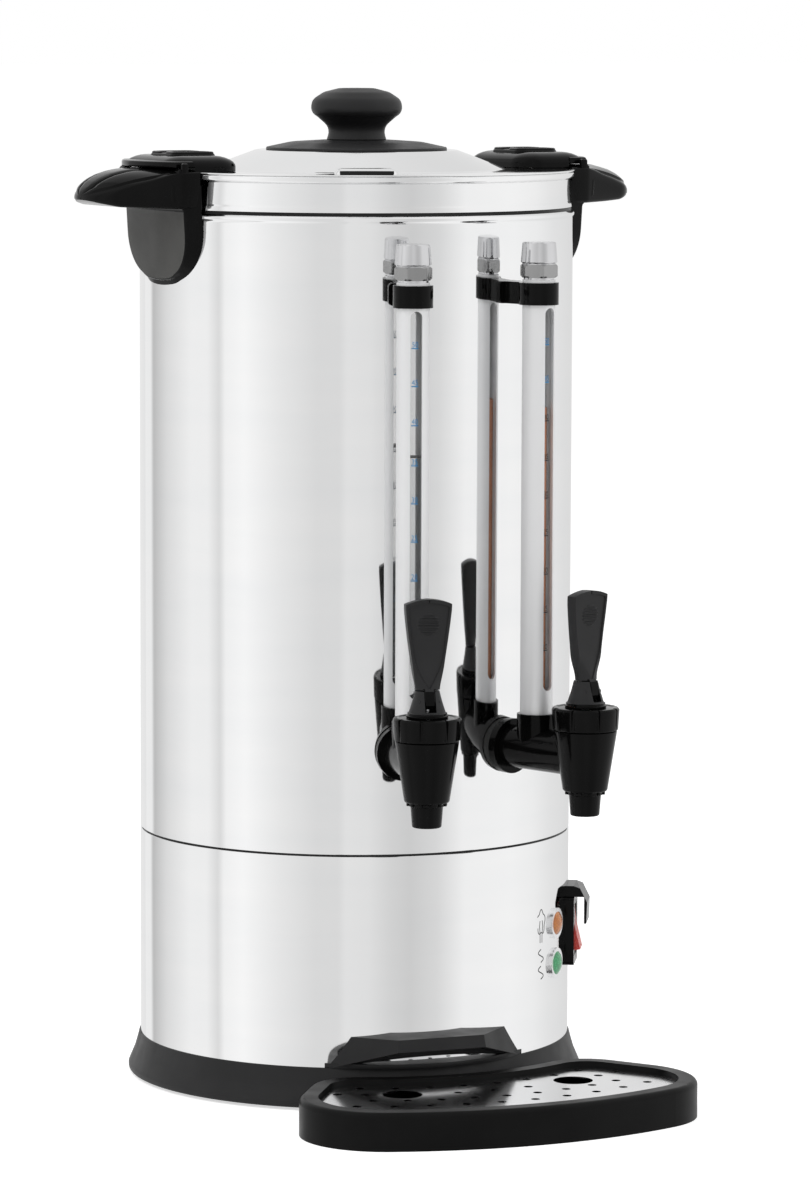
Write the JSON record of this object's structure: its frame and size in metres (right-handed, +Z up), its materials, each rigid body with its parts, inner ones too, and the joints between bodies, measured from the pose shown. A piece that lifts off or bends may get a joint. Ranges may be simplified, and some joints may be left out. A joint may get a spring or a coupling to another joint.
{
  "type": "hot water urn",
  "caption": "Cylindrical polished steel hot water urn on a black base, with lever taps, sight gauges, side handles, knobbed lid and a drip tray.",
  "frame": {"origin": "centre of the base plate's underside, on the urn's vertical axis, 1.5 mm above the table", "axes": "+Z up; the front, midway between the two taps, faces -Y; +X is the right side as seen by a person facing the front"},
  "size_m": [0.314, 0.349, 0.5132],
  "materials": {
    "black_matte": "satin moulded black",
    "rubber": "matte",
    "steel_polished": "mirror-polished stainless steel",
    "steel_plain": "plain",
    "black_gloss": "glossy black",
    "charcoal_satin": "satin charcoal",
    "clear": "clear",
    "aluminium_satin": "satin",
    "red": "translucent red",
    "amber": "translucent amber",
    "green": "translucent green"
  },
  "bodies": {
    "urn": {"base_ring": "black_matte", "base_plate": "black_matte", "rubber_feet": "rubber", "base_screws": "steel_plain", "tie_rods": "steel_plain", "lower_housing": "steel_polished", "body_shell": "steel_polished", "top_collar": "steel_polished", "inner_tank": "steel_polished", "tank_divider": "steel_polished", "heater_plate": "steel_plain", "heating_tube": "steel_plain", "thermostat": "steel_plain", "thermal_cutout": "steel_plain", "cord_gland": "black_matte", "gland_nut": "black_matte", "switch_body": "black_gloss", "splash_cover": "clear", "switch_hood": "black_gloss", "lamp_bezels": "steel_polished", "amber_lens": "amber", "green_lens": "green", "handle_left": "black_gloss", "handle_right": "black_gloss", "handle_screws": "steel_plain", "tray_holder": "black_matte", "tap_gaskets": "rubber", "tap_nuts": "black_gloss", "pivot_pins": "steel_plain", "gauge_glasses": "clear", "gauge_seals": "rubber", "gauge_caps": "steel_polished", "gauge_clips": "black_gloss", "tap_arm_left": "black_gloss", "tap_body_left": "black_gloss", "tap_cap_left": "black_gloss", "tap_bonnet_left": "charcoal_satin", "valve_spring_left": "steel_plain", "gauge_tube_left": "aluminium_satin", "tap_arm_right": "black_gloss", "tap_body_right": "black_gloss", "tap_cap_right": "black_gloss", "tap_bonnet_right": "charcoal_satin", "valve_spring_right": "steel_plain", "gauge_tube_right": "aluminium_satin"},
    "lever_left": {"tap_lever_left": "charcoal_satin"},
    "lever_right": {"tap_lever_right": "charcoal_satin"},
    "valve_left": {"valve_stem_left": "steel_plain", "seat_cup_left": "rubber"},
    "valve_right": {"valve_stem_right": "steel_plain", "seat_cup_right": "rubber"},
    "rocker": {"rocker": "red"},
    "lid": {"lid_pan": "steel_polished", "lid_wing_left": "black_gloss", "lid_wing_right": "black_gloss", "knob_base": "black_matte", "lid_knob": "black_matte", "lid_screws": "steel_plain"},
    "drip_tray": {"drip_tray": "black_matte"},
    "drip_grid": {"drip_grid": "steel_polished"}
  },
  "joints": [
    {"name": "tap_lever_left", "type": "hinge", "parent": "urn", "child": "lever_left", "pos_m": [-0.04623, -0.16671, 0.2138], "axis": [0.9636, -0.2672, 0], "range_deg": [0, 35]},
    {"name": "valve_stem_left", "type": "slide", "parent": "urn", "child": "valve_left", "axis": [0, 0, 1], "range_m": [0, 0.00257], "stiffness_N_per_m": 150, "springref_m": -0.01, "deforming": ["valve_spring_left"]},
    {"name": "tap_lever_right", "type": "hinge", "parent": "urn", "child": "lever_right", "pos_m": [0.04623, -0.16671, 0.2138], "axis": [0.9636, 0.2672, 0], "range_deg": [0, 35]},
    {"name": "valve_stem_right", "type": "slide", "parent": "urn", "child": "valve_right", "axis": [0, 0, 1], "range_m": [0, 0.00257], "stiffness_N_per_m": 150, "springref_m": -0.01, "deforming": ["valve_spring_right"]},
    {"name": "rocker", "type": "hinge", "parent": "urn", "child": "rocker", "pos_m": [0.09086, -0.06129, 0.0753], "axis": [0.5592, 0.829, 0], "range_deg": [0, 20]},
    {"name": "lid_lift", "type": "slide", "parent": "urn", "child": "lid", "axis": [0, 0, 1], "range_m": [0, 0.12]},
    {"name": "drip_tray", "type": "slide", "parent": "urn", "child": "drip_tray", "axis": [0, -1, 0], "range_m": [0, 0.12]},
    {"name": "drip_grid", "type": "slide", "parent": "drip_tray", "child": "drip_grid", "axis": [0, 0, 1], "range_m": [0, 0.04]}
  ],
  "couplings": [
    {"joint": "tap_lever_left", "follows": "valve_stem_left", "rad_per_m": 238.1},
    {"joint": "tap_lever_right", "follows": "valve_stem_right", "rad_per_m": 238.1}
  ]
}
